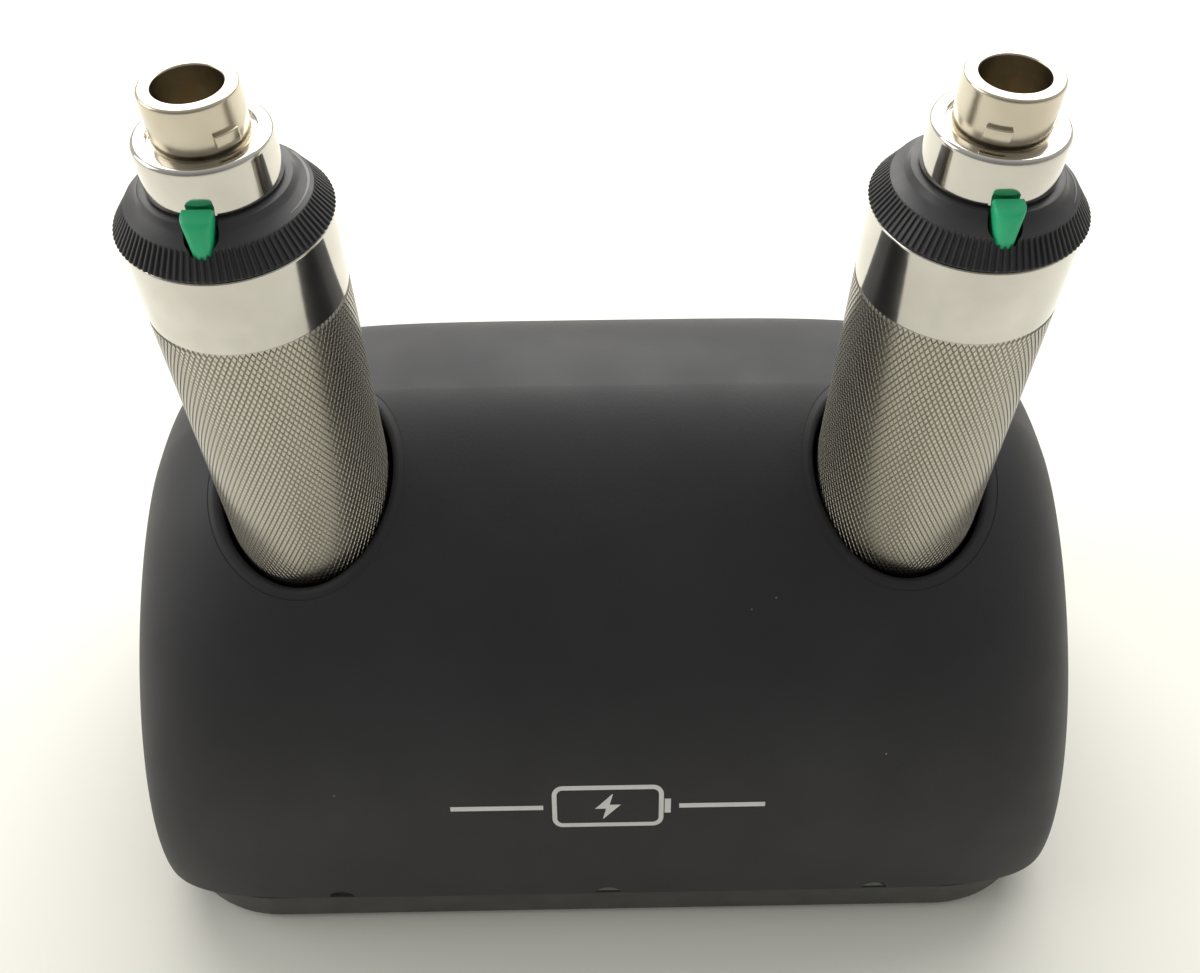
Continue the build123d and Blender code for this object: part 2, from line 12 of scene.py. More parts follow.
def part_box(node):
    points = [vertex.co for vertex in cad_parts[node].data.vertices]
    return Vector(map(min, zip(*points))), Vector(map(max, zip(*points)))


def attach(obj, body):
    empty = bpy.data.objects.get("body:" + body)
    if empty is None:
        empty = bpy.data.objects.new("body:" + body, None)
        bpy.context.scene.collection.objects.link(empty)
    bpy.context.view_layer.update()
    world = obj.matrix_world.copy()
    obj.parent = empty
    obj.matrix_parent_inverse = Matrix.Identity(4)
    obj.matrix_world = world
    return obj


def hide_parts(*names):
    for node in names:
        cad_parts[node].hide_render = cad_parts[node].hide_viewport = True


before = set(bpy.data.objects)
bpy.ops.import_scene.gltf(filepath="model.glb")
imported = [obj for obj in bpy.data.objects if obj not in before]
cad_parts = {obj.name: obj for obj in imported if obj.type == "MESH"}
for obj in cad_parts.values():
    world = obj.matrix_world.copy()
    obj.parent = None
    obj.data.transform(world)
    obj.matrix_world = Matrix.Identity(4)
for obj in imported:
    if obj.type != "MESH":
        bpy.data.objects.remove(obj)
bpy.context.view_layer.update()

bl_info = {
    "name": "Charging stand with two power handles",
    "version": (1, 0, 0),
    "blender": (4, 5, 0),
    "location": "3D View > Sidebar > Charging stand",
    "description": "Builds the looks of a desk charging stand and its two instrument handles",
    "category": "Object",
}

MM = 0.001
SIDES = ("left", "right")

# The stand's driving sizes, in millimetres: the cover is one soft-cornered skin.
HALF_LENGTH = 88.4
HALF_DEPTH = 49.1
CROWN_Y = 10.6
PARTING_Z = 10.9
COVER_HEIGHT = 77.3
COVER_WALL = 2.4
SHOULDER_POWER = 4.4
PLAN_POWER = 9.4
FRONT_POWERS = (1.6, 1.65)
BACK_POWERS = (2.7, 3.6)
BACK_SPACING = 1.5
END_ANGLE = 5.0
WELL_R = 15.1
WELL_ROUND = 1.1
WEB_HEIGHT = 2.5
BASE_CORNER_R = 24.0
LAMP_NOTCH_R = 2.5
POST_R = 3.6
POST_X, POST_Y = 74.0, 31.0
INLET_GAP = 0.3
NOTCH_DEPTH = 6.0
OVERCUT = 2.0
TABLE_GAP = 0.05

# The handle's driving sizes, in millimetres from its ring plane and its own axis.
RING_UNDERSIDE = -0.15
TUBE_R = 14.3
TUBE_INNER_R = 13.2
TIP_R = 6.3
LUG_TURN = {"left": 46.0, "right": -22.0}
LUG_SPAN = 30.0
LUG_BOTTOM, LUG_TOP = 13.5, 15.4

# Which way the camera is turned: its right hand and its top.
CAMERA_RIGHT = (0.99985, -0.01682, -0.00361)
CAMERA_UP = (0.01522, 0.76640, 0.64218)


def node_box(name):
    """A CAD node's lowest and highest corners, in millimetres."""
    low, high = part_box(name)
    return low / MM, high / MM


def handle_axis(side):
    """Where a handle's axis meets the ring plane, in millimetres."""
    low, high = node_box(f"{side}_rheostat_ring")
    middle = (low + high) / 2
    return Vector((middle.x, middle.y, low.z - RING_UNDERSIDE))


# ---------------------------------------------------------------- colours and nodes

def linear(code):
    """An sRGB hex colour as linear red, green, blue and alpha."""
    channels = [int(code[i:i + 2], 16) / 255 for i in (1, 3, 5)]
    return [c / 12.92 if c <= 0.04045 else ((c + 0.055) / 1.055) ** 2.4 for c in channels] + [1.0]


def add(tree, kind, inputs=None, **settings):
    """Adds one node, with its settings and its sockets' values or links."""
    node = tree.nodes.new(kind)
    for key, value in settings.items():
        setattr(node, key, value)
    for socket, value in (inputs or {}).items():
        if isinstance(value, bpy.types.NodeSocket):
            tree.links.new(value, node.inputs[socket])
        else:
            node.inputs[socket].default_value = value
    return node


def new_material(name):
    """An empty node material and its object-space position."""
    finish = bpy.data.materials.new(name)
    finish.use_nodes = True
    finish.node_tree.nodes.clear()
    place = add(finish.node_tree, "ShaderNodeTexCoord").outputs["Object"]
    return finish, finish.node_tree, place


def finish_surface(finish, **sockets):
    """Ends a material in one Principled shader."""
    tree = finish.node_tree
    names = {key.replace("_", " "): value for key, value in sockets.items()}
    shader = add(tree, "ShaderNodeBsdfPrincipled", names)
    add(tree, "ShaderNodeOutputMaterial", {"Surface": shader.outputs[0]})
    return finish


def noise(tree, place, size_mm, detail=2.0, **more):
    """Soft noise with patches of about one size in millimetres."""
    sockets = {"Vector": place, "Scale": 1000 / size_mm, "Detail": detail, **more}
    return add(tree, "ShaderNodeTexNoise", sockets).outputs["Fac"]


def raised(tree, height, height_mm, strength):
    """A height in millimetres, as a normal."""
    sockets = {"Height": height, "Distance": height_mm * MM, "Strength": strength}
    return add(tree, "ShaderNodeBump", sockets).outputs["Normal"]


def mapped(tree, value, from_min, from_max, to_min=0.0, to_max=1.0):
    """One range of values laid over another."""
    sockets = {
        "Value": value, "From Min": from_min, "From Max": from_max,
        "To Min": to_min, "To Max": to_max,
    }
    return add(tree, "ShaderNodeMapRange", sockets).outputs["Result"]


def mottled(tree, place, dark, light, size_mm):
    """A colour that drifts between two tones over a patch size in millimetres."""
    ramp = add(tree, "ShaderNodeValToRGB", {"Fac": noise(tree, place, size_mm, 3.0)})
    ramp.color_ramp.elements[0].position = 0.35
    ramp.color_ramp.elements[0].color = linear(dark)
    ramp.color_ramp.elements[1].position = 0.65
    ramp.color_ramp.elements[1].color = linear(light)
    return ramp.outputs["Color"]


def varied(tree, place, low, high, size_mm):
    """A value that drifts between two limits over a patch size in millimetres."""
    return mapped(tree, noise(tree, place, size_mm), 0.3, 0.7, low, high)


def grained(tree, place, size_mm, height_mm, strength=1.0):
    """A fine raised grain, as a normal."""
    return raised(tree, noise(tree, place, size_mm), height_mm, strength)


# ---------------------------------------------------------------- materials

def moulded_abs_spark(name, dark, light, grain_mm):
    """ABS, moulded in a spark-eroded tool: soft black with a fine leathery grain and dust."""
    finish, tree, place = new_material(name)
    colour = mottled(tree, place, dark, light, 22.0)
    # Grains of dust about 0.3 mm across, scattered in loose patches.
    near = {"Vector": place, "Scale": 1000 / 7.0, "Randomness": 1.0}
    cells = add(tree, "ShaderNodeTexVoronoi", near).outputs["Distance"]
    speck = mapped(tree, cells, 0.018, 0.032, 1.0, 0.0)
    chosen = mapped(tree, noise(tree, place, 30.0, 1.0), 0.55, 0.62)
    amount = add(tree, "ShaderNodeMath", {0: speck, 1: chosen}, operation="MULTIPLY").outputs[0]
    tones = {0: amount, 6: colour, 7: linear("#7C7A76")}
    dusty = add(tree, "ShaderNodeMix", tones, data_type="RGBA")
    grain = noise(tree, place, grain_mm, 3.0, Roughness=0.6)
    return finish_surface(
        finish,
        Base_Color=dusty.outputs[2],
        Roughness=varied(tree, place, 0.53, 0.6, 14.0),
        Normal=raised(tree, grain, 0.05, 0.55),
    )


def moulded_plastic(name, dark, light, roughness, grain_mm=0.6, height_mm=0.02):
    """Moulded plastic: an even colour with a slight drift and a fine tool finish."""
    finish, tree, place = new_material(name)
    return finish_surface(
        finish,
        Base_Color=mottled(tree, place, dark, light, 6.0),
        Roughness=varied(tree, place, roughness - 0.05, roughness + 0.05, 4.0),
        Normal=grained(tree, place, grain_mm, height_mm, 0.5),
    )


def plated_metal(name, dark, light, smooth, rough, wipe_mm=7.0, wave_mm=0.004):
    """Plated metal: clean reflections, softened a little where it has been handled."""
    finish, tree, place = new_material(name)
    return finish_surface(
        finish,
        Base_Color=mottled(tree, place, dark, light, wipe_mm),
        Metallic=1.0,
        Roughness=varied(tree, place, smooth, rough, wipe_mm / 2),
        Normal=grained(tree, place, 2.0, wave_mm, 0.4),
    )


def turned_metal(name, dark, light, roughness, ring_mm=0.25):
    """Metal turned on a lathe: faint rings round its axis, seen as a soft sheen."""
    finish, tree, place = new_material(name)
    lines = {"Vector": place, "Scale": 1000 / ring_mm / 20, "Distortion": 0.6, "Detail": 2.0}
    wave = add(tree, "ShaderNodeTexWave", lines, bands_direction="Z")
    return finish_surface(
        finish,
        Base_Color=mottled(tree, place, dark, light, 3.0),
        Metallic=1.0,
        Roughness=roughness,
        Normal=raised(tree, wave.outputs["Fac"], 0.004, 0.4),
    )


def smoked_acrylic(name):
    """Acrylic, smoked: a dark glossy window with a greenish body."""
    finish, tree, place = new_material(name)
    return finish_surface(
        finish,
        Base_Color=mottled(tree, place, "#1B1E19", "#34372C", 2.0),
        Roughness=0.12,
        Coat_Weight=0.4,
        Normal=grained(tree, place, 1.5, 0.004),
    )


def glass_epoxy(name):
    """Glass-epoxy board under green solder resist: glossy, with tracks just showing."""
    finish, tree, place = new_material(name)
    cells = add(tree, "ShaderNodeTexBrick", {
        "Vector": place, "Scale": 160.0, "Mortar Size": 0.012, "Color1": linear("#1D5A34"),
        "Color2": linear("#19502E"), "Mortar": linear("#2F7A4A"),
    })
    return finish_surface(
        finish,
        Base_Color=cells.outputs["Color"],
        Roughness=0.3,
        Normal=grained(tree, place, 0.8, 0.01),
    )


def make_finishes(look):
    """Every finish of the stand and the handles, by the record's slot name."""
    return {
        # ABS, spark texture: a soft black that lifts to grey where light grazes it.
        "cover_plastic": moulded_abs_spark(
            "abs_spark_texture_black", "#1C1C20", "#232327", look.grain,
        ),
        # ABS, plain moulded: a shade browner and duller than the cover.
        "base_plastic": moulded_plastic("abs_moulded_charcoal", "#3A3A36", "#42423E", 0.5),
        # Polypropylene, satin: the dark lining of the wells.
        "liner_plastic": moulded_plastic("polypropylene_satin_black", "#101011", "#161617", 0.5),
        # Silicone rubber, moulded: dead matt pads.
        "foot_rubber": moulded_plastic(
            "silicone_rubber_grey", "#232324", "#2B2B2B", 0.85, 0.4, 0.03,
        ),
        # Steel, zinc-plated: dull screws.
        "screw_steel": turned_metal("steel_zinc_plated", "#8D8F92", "#A6A8AA", 0.35),
        "board_laminate": glass_epoxy("glass_epoxy_green"),
        # Aluminium, drawn: a soft bright can.
        "can_aluminium": turned_metal("aluminium_drawn", "#B9BBBD", "#CFD0D1", 0.3),
        # Epoxy, moulded: matt black packages.
        "epoxy_package": moulded_plastic("epoxy_moulded_black", "#1A1A1A", "#222222", 0.6),
        # Ceramic-white lamp bodies.
        "lamp_package": moulded_plastic("polyamide_lamp_white", "#D8DACB", "#E4E6D8", 0.4),
        "smoked_lens": smoked_acrylic("acrylic_smoked"),
        # Nylon, moulded: the black socket.
        "inlet_plastic": moulded_plastic("nylon_moulded_black", "#141415", "#1B1B1C", 0.45),
        # Chrome over brass, polished: near-mirror, faintly warm.
        "bright_chrome": plated_metal("chrome_polished", "#C9C6BE", "#D3D0C9", 0.08, 0.12),
        # Chrome over a cut knurl: each diamond catches the light, grooves stay dull.
        "knurled_chrome": plated_metal(
            "chrome_knurled", "#BDB9AE", "#C4C0B6", 0.22, 0.25, 30.0, 0.003,
        ),
        # Nickel, satin plated: warmer and softer than chrome.
        "nickel_plate": plated_metal("nickel_satin", "#C8BFAD", "#D2CABA", 0.2, 0.26, 5.0, 0.004),
        # Nylon, glass-filled and moulded: satin black with a slight shine on each rib.
        "ring_plastic": moulded_plastic(
            "nylon_glass_filled_black", "#2E2E31", "#37373A", 0.42, 0.5, 0.015,
        ),
        # Acetal, moulded green: waxy, with a soft shine.
        "button_plastic": moulded_plastic(
            "acetal_moulded_green", "#2BC183", "#35CE91", 0.42, 0.45, 0.03,
        ),
        "cap_plastic": moulded_plastic("acetal_moulded_black", "#1A1A1B", "#222223", 0.45),
        # Brass, turned: warm contacts.
        "contact_brass": turned_metal("brass_turned", "#C29A4A", "#D3AE62", 0.25),
        # Spring steel wire, drawn.
        "spring_steel": turned_metal("spring_steel_drawn", "#9A9C9F", "#B2B4B6", 0.28),
        # Polyester sleeve shrunk on the cell.
        "cell_sleeve": moulded_plastic("polyester_sleeve_grey", "#5A6670", "#66727C", 0.35),
        # Nylon, natural: creamy insulators.
        "nylon": moulded_plastic("nylon_natural", "#D6CDB4", "#E2DAC4", 0.45),
        # Cermet track on alumina.
        "resistor_track": moulded_plastic("cermet_track", "#3A3430", "#463F39", 0.4),
        # Pad-printed ink: flat light grey.
        "printed_ink": moulded_plastic(
            "ink_pad_printed_grey", "#E4E4E1", "#ECECE9", 0.5, 0.4, 0.004,
        ),
        # Dim pad-printed ink: a dull grey that only just shows on the black ring.
        "scale_mark": moulded_plastic(
            "ink_pad_printed_dim", "#77777A", "#828285", 0.5, 0.4, 0.004,
        ),
    }


NODE_SLOTS = {
    "base_plate": "base_plastic", "rubber_feet": "foot_rubber", "case_screws": "screw_steel",
    "circuit_board": "board_laminate", "board_screws": "screw_steel", "capacitor": "can_aluminium",
    "regulators": "epoxy_package", "lamps": "lamp_package", "lamp_lenses": "smoked_lens",
    "power_inlet": "inlet_plastic", "well_liner": "liner_plastic", "centre_pin": "contact_brass",
    "outer_pin": "contact_brass", "centre_pin_spring": "spring_steel",
    "outer_pin_spring": "spring_steel",
    "end_cap": "cap_plastic", "charge_button": "contact_brass", "charge_ring": "contact_brass",
    "battery_spring": "spring_steel", "battery_cell": "cell_sleeve", "contact_carrier": "nylon",
    "conductor_rod": "contact_brass", "resistor_disc": "resistor_track", "wiper": "spring_steel",
    "button_spring": "spring_steel", "tip_insulator": "nylon", "tip_plunger": "contact_brass",
    "plunger_spring": "spring_steel",
}
# Every finish, by its slot name; the Finishes step fills it.
FINISHES = {}


def dress(obj, slot):
    """Gives a finished piece its material, the finish made under its slot name."""
    obj.data.materials.clear()
    obj.data.materials.append(FINISHES[slot])
    return obj


# ---------------------------------------------------------------- mesh helpers

def place_object(name, mesh):
    """A new object at the origin."""
    obj = bpy.data.objects.new(name, mesh)
    bpy.context.scene.collection.objects.link(obj)
    return obj


def closed_object(name, shape):
    """A new object from a closed bmesh in millimetres, normals outwards."""
    bmesh.ops.recalc_face_normals(shape, faces=shape.faces)
    return new_object(name, shape)


def new_object(name, shape):
    """A new object at the origin from a bmesh in millimetres."""
    bmesh.ops.scale(shape, vec=(MM, MM, MM), verts=shape.verts)
    mesh = bpy.data.meshes.new(name)
    shape.to_mesh(mesh)
    shape.free()
    return place_object(name, mesh)


def bake(obj):
    """Turns an object and its modifiers into one plain mesh of the same name."""
    name = obj.name
    bpy.context.view_layer.update()
    depsgraph = bpy.context.evaluated_depsgraph_get()
    mesh = bpy.data.meshes.new_from_object(obj.evaluated_get(depsgraph), depsgraph=depsgraph)
    bpy.data.objects.remove(obj)
    mesh.name = name
    return place_object(name, mesh)


def shade(obj, angle):
    """Smooth shading that breaks at edges sharper than an angle in degrees."""
    obj.data.shade_smooth()
    obj.data.set_sharp_from_angle(angle=math.radians(angle))
    return obj


def weigh_normals(obj):
    """Lets the larger faces lead the shading, then bakes the result."""
    lean = obj.modifiers.new("lean", "WEIGHTED_NORMAL")
    lean.keep_sharp = True
    return bake(obj)


def combine(obj, tool, operation):
    """Joins, cuts or keeps the overlap of two closed meshes, and drops the tool."""
    step = obj.modifiers.new("combine", "BOOLEAN")
    step.operation = operation
    step.solver = "EXACT"
    step.object = tool
    result = bake(obj)
    bpy.data.objects.remove(tool)
    return result


def tidy_mesh(obj, gap_mm=0.002):
    """Merges doubled points, drops slivers with no area and turns faces outwards."""
    shape = bmesh.new()
    shape.from_mesh(obj.data)
    bmesh.ops.remove_doubles(shape, verts=shape.verts, dist=gap_mm * MM)
    bmesh.ops.dissolve_degenerate(shape, edges=shape.edges, dist=gap_mm * MM / 4)
    bmesh.ops.recalc_face_normals(shape, faces=shape.faces)
    shape.to_mesh(obj.data)
    shape.free()
    return obj


def skin(shape, rows):
    """Faces between neighbouring rows of points, each row closed, and both ends."""
    for row, after in zip(rows, rows[1:]):
        for step in range(len(row)):
            on = (step + 1) % len(row)
            shape.faces.new((row[step], row[on], after[on], after[step]))
    shape.faces.new(rows[0])
    shape.faces.new(rows[-1])


def soften(obj, width_mm, angle):
    """Rounds the edges sharper than an angle in degrees."""
    soft = obj.modifiers.new("soft", "BEVEL")
    soft.width = width_mm * MM
    soft.segments = 3
    soft.limit_method = "ANGLE"
    soft.angle_limit = math.radians(angle)
    return bake(obj)


def inked(obj, thickness_mm):
    """Gives a printed shape the thickness of its ink."""
    thick = obj.modifiers.new("ink", "SOLIDIFY")
    thick.thickness = thickness_mm * MM
    thick.offset = 0.0
    return shade(bake(obj), 50)


def rounded_outline(outline, steps=5):
    """Replaces each (radius, height, round) corner by a short arc."""
    points = []
    count = len(outline)
    for index, corner in enumerate(outline):
        here = Vector(corner[:2])
        size = corner[2] if len(corner) > 2 else 0.0
        if size <= 0:
            points.append(here)
            continue
        back = Vector(outline[index - 1][:2]) - here
        on = Vector(outline[(index + 1) % count][:2]) - here
        reach = min(size / math.tan(back.angle(on) / 2), back.length * 0.48, on.length * 0.48)
        start = here + back.normalized() * reach
        end = here + on.normalized() * reach
        for step in range(steps + 1):
            t = step / steps
            points.append(start * (1 - t) ** 2 + here * 2 * t * (1 - t) + end * t**2)
    return points


def lathe(name, outline, centre, segments=128, steps=5):
    """A closed turned piece: outline of (radius, height, round), corners rounded."""
    shape = bmesh.new()
    points = rounded_outline(outline, steps)
    rings = []
    for radius, height in points:
        if radius < 1e-6:
            rings.append([shape.verts.new((centre.x, centre.y, centre.z + height))])
            continue
        ring = []
        for step in range(segments):
            turn = 2 * math.pi * step / segments
            x, y = centre.x + radius * math.cos(turn), centre.y + radius * math.sin(turn)
            ring.append(shape.verts.new((x, y, centre.z + height)))
        rings.append(ring)
    for ring, after in zip(rings, rings[1:] + rings[:1]):
        for step in range(segments):
            on = (step + 1) % segments
            if len(ring) == 1 and len(after) == 1:
                break
            if len(ring) == 1:
                shape.faces.new((ring[0], after[on], after[step]))
            elif len(after) == 1:
                shape.faces.new((ring[step], ring[on], after[0]))
            else:
                shape.faces.new((ring[step], ring[on], after[on], after[step]))
    return closed_object(name, shape)


def prism(name, outline, low, high):
    """An upright prism from an outline of (x, y) points between two heights."""
    shape = bmesh.new()
    skin(shape, [[shape.verts.new((x, y, z)) for x, y in outline] for z in (low, high)])
    return closed_object(name, shape)


def rounded_rectangle(half_x, half_y, corner, steps=16):
    """Outline points of a rectangle with round corners, about the origin."""
    points = []
    for quarter, (sx, sy) in enumerate(((1, 1), (-1, 1), (-1, -1), (1, -1))):
        for step in range(steps + 1):
            turn = math.radians(90 * quarter + 90 * step / steps)
            x = sx * (half_x - corner) + corner * math.cos(turn)
            points.append((x, sy * (half_y - corner) + corner * math.sin(turn)))
    return points


def circle_points(radius, centre_x, centre_y, steps=64):
    """Outline points of a circle."""
    turns = [2 * math.pi * step / steps for step in range(steps)]
    return [(centre_x + radius * math.cos(t), centre_y + radius * math.sin(t)) for t in turns]


def welded_copy(node, name, angle=35.0):
    """A CAD node's own shape with merged points and smooth shading, in its place."""
    obj = place_object(name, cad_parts[node].data.copy())
    shape = bmesh.new()
    shape.from_mesh(obj.data)
    bmesh.ops.remove_doubles(shape, verts=shape.verts, dist=0.002 * MM)
    bmesh.ops.dissolve_degenerate(shape, edges=shape.edges, dist=0.0005 * MM)
    shape.to_mesh(obj.data)
    shape.free()
    shade(obj, angle)
    return weigh_normals(obj)


def settle(obj, body, slot, *nodes):
    """Dresses a finished piece, puts it on its body and hides the nodes it stands for."""
    dress(obj, slot)
    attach(obj, body)
    if nodes:
        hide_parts(*nodes)
    return obj


# ---------------------------------------------------------------- cover shape

def cover_limits(x, inset):
    """Height and plan spread of the cover's skin at one x."""
    ratio = min(abs(x) / (HALF_LENGTH - inset), 1.0)
    height = (COVER_HEIGHT - inset) * (1 - ratio**SHOULDER_POWER) ** (1 / SHOULDER_POWER)
    spread = (1 - ratio**PLAN_POWER) ** (1 / PLAN_POWER)
    return height, spread


def cover_height(x, y):
    """Height of the cover's outer skin over one point of the plan."""
    height, spread = cover_limits(x, 0.0)
    front = y < CROWN_Y
    reach = (HALF_DEPTH + CROWN_Y if front else HALF_DEPTH - CROWN_Y) * spread
    p, q = FRONT_POWERS if front else BACK_POWERS
    share = min(abs(y - CROWN_Y) / reach, 1.0)
    return PARTING_Z + height * (1 - share**p) ** (1 / q)


def cover_front(x, z):
    """The front skin's y at one x and height."""
    height, spread = cover_limits(x, 0.0)
    p, q = FRONT_POWERS
    share = (1 - ((z - PARTING_Z) / height) ** q) ** (1 / p)
    return CROWN_Y - (HALF_DEPTH + CROWN_Y) * spread * share


def cover_section(x, inset, front_steps, back_steps):
    """Points over the cover at one x, from the front's foot to the back's foot."""
    height, spread = cover_limits(x, inset)
    front_reach = (HALF_DEPTH + CROWN_Y - inset) * spread
    back_reach = (HALF_DEPTH - CROWN_Y - inset) * spread
    points = []
    for step in range(front_steps + 1):
        turn = math.radians(90 * step / front_steps)
        out = max(math.cos(turn), 0.0) ** (2 / FRONT_POWERS[0])
        up = math.sin(turn) ** (2 / FRONT_POWERS[1])
        points.append((x, CROWN_Y - front_reach * out, PARTING_Z + height * up))
    for step in range(back_steps - 1, -1, -1):
        turn = math.radians(90 * (step / back_steps) ** BACK_SPACING)
        out = math.cos(turn) ** (2 / BACK_POWERS[0])
        up = math.sin(turn) ** (2 / BACK_POWERS[1])
        points.append((x, CROWN_Y + back_reach * out, PARTING_Z + height * up))
    return points


def cover_solid(name, inset, stations, front_steps, back_steps):
    """The cover's whole body as one closed skin, drawn in all round by an inset."""
    shape = bmesh.new()
    rows = []
    for station in range(stations + 1):
        turn = math.radians(END_ANGLE + (180 - 2 * END_ANGLE) * station / stations)
        side = math.cos(turn)
        x = -math.copysign((HALF_LENGTH - inset) * abs(side) ** (2 / SHOULDER_POWER), side)
        rows.append([shape.verts.new(p) for p in cover_section(x, inset, front_steps, back_steps)])
    skin(shape, rows)
    return closed_object(name, shape)


def well_cutter(name, axis, segments=144):
    """Tool for one well: a straight wall and a lip that rolls over onto the skin."""
    lead = math.radians(7)
    arc_steps = 8
    gap = 0.4
    lip_r = WELL_R + WELL_ROUND
    shape = bmesh.new()
    columns = []
    for step in range(segments):
        turn = 2 * math.pi * step / segments
        out = Vector((math.cos(turn), math.sin(turn)))
        inner_z, lip, outer_z = (
            cover_height(axis.x + r * out.x, axis.y + r * out.y)
            for r in (lip_r - gap, lip_r, lip_r + gap)
        )
        slope = (outer_z - inner_z) / (2 * gap)
        centre_z = lip - WELL_ROUND * math.sqrt(1 + slope * slope)
        last = math.atan2(1, -slope) - lead
        column = [(WELL_R, 4.0), (WELL_R, centre_z)]
        for arc in range(1, arc_steps + 1):
            angle = math.pi + (last - math.pi) * arc / arc_steps
            height = centre_z + WELL_ROUND * math.sin(angle)
            column.append((lip_r + WELL_ROUND * math.cos(angle), height))
        end_r, end_z = column[-1]
        along = last - math.pi / 2
        column.append((end_r + 0.9 * math.cos(along), end_z + 0.9 * math.sin(along)))
        column.append((column[-1][0], 120.0))
        places = [(axis.x + r * out.x, axis.y + r * out.y, z) for r, z in column]
        columns.append([shape.verts.new(place) for place in places])
    for column, after in zip(columns, columns[1:] + columns[:1]):
        for step in range(len(column) - 1):
            shape.faces.new((column[step], after[step], after[step + 1], column[step + 1]))
    shape.faces.new([column[0] for column in columns])
    shape.faces.new([column[-1] for column in columns])
    return closed_object(name, shape)


def cover_cavity():
    """The space inside the cover, less its screw posts and its corner webs."""
    web_top = PARTING_Z + WEB_HEIGHT
    cavity = cover_solid("cover_cavity", COVER_WALL, 64, 30, 24)
    under = prism("under", rounded_rectangle(120, 80, 10), 0.0, web_top)
    cavity = combine(cavity, under, "DIFFERENCE")
    half_x, half_y = HALF_LENGTH - 0.3 - COVER_WALL, HALF_DEPTH - 0.3 - COVER_WALL
    foot_outline = rounded_rectangle(half_x, half_y, BASE_CORNER_R - COVER_WALL)
    foot = prism("foot", foot_outline, PARTING_Z - 4, web_top + 0.05)
    cavity = combine(cavity, foot, "UNION")
    for x in (-POST_X, POST_X):
        for y in (-POST_Y, POST_Y):
            post = prism("post", circle_points(POST_R, x, y, 32), PARTING_Z, 120.0)
            cavity = combine(cavity, post, "DIFFERENCE")
    return cavity


def sideways_rod(name, radius, x, z, low_y, high_y, steps=48):
    """A closed rod along y."""
    shape = bmesh.new()
    circle = circle_points(radius, x, z, steps)
    skin(shape, [[shape.verts.new((px, y, pz)) for px, pz in circle] for y in (low_y, high_y)])
    return closed_object(name, shape)


def lamp_notch(x):
    """Tool for the round notch over one lamp, in the front parting line."""
    front, deep = -HALF_DEPTH - OVERCUT, -HALF_DEPTH + NOTCH_DEPTH
    return sideways_rod("notch", LAMP_NOTCH_R, x, PARTING_Z, front, deep)


# ---------------------------------------------------------------- repeats

def repeat_tree():
    """Geometry Nodes: turns one sector round the z axis and welds it into a whole."""
    tree = bpy.data.node_groups.new("repeat_round_axis", "GeometryNodeTree")
    face = tree.interface
    face.new_socket("Sector", in_out="INPUT", socket_type="NodeSocketGeometry")
    face.new_socket("Count", in_out="INPUT", socket_type="NodeSocketInt")
    face.new_socket("Weld distance", in_out="INPUT", socket_type="NodeSocketFloat")
    face.new_socket("Finish", in_out="INPUT", socket_type="NodeSocketMaterial")
    face.new_socket("Whole", in_out="OUTPUT", socket_type="NodeSocketGeometry")
    given = add(tree, "NodeGroupInput").outputs
    points = add(tree, "GeometryNodePoints", {"Count": given["Count"]})
    share = {0: math.tau, 1: given["Count"]}
    pitch = add(tree, "ShaderNodeMath", share, operation="DIVIDE").outputs[0]
    number = add(tree, "GeometryNodeInputIndex").outputs[0]
    turn = add(tree, "ShaderNodeMath", {0: number, 1: pitch}, operation="MULTIPLY").outputs[0]
    euler = add(tree, "ShaderNodeCombineXYZ", {"Z": turn}).outputs[0]
    rotation = add(tree, "FunctionNodeEulerToRotation", {0: euler}).outputs[0]
    copies = {"Points": points.outputs[0], "Instance": given["Sector"], "Rotation": rotation}
    placed = add(tree, "GeometryNodeInstanceOnPoints", copies).outputs[0]
    real = add(tree, "GeometryNodeRealizeInstances", {0: placed}).outputs[0]
    weld = {"Geometry": real, "Distance": given["Weld distance"]}
    merged = add(tree, "GeometryNodeMergeByDistance", weld).outputs[0]
    dressed = {"Geometry": merged, "Material": given["Finish"]}
    coloured = add(tree, "GeometryNodeSetMaterial", dressed)
    add(tree, "NodeGroupOutput", {0: coloured.outputs[0]})
    return tree


def repeat_round(obj, count, slot):
    """Runs the repeating tree on a sector and returns the plain whole."""
    tree = bpy.data.node_groups.get("repeat_round_axis") or repeat_tree()
    step = obj.modifiers.new("repeat", "NODES")
    step.node_group = tree
    inputs = [item for item in tree.interface.items_tree if item.in_out == "INPUT"]
    sockets = {item.name: item.identifier for item in inputs}
    step[sockets["Count"]] = count
    step[sockets["Weld distance"]] = 0.0015 * MM
    step[sockets["Finish"]] = FINISHES[slot]
    return bake(obj)


def shift(obj, centre):
    """Moves a mesh's points from the axis to their place, in millimetres."""
    obj.data.transform(Matrix.Translation(centre * MM))
    return obj


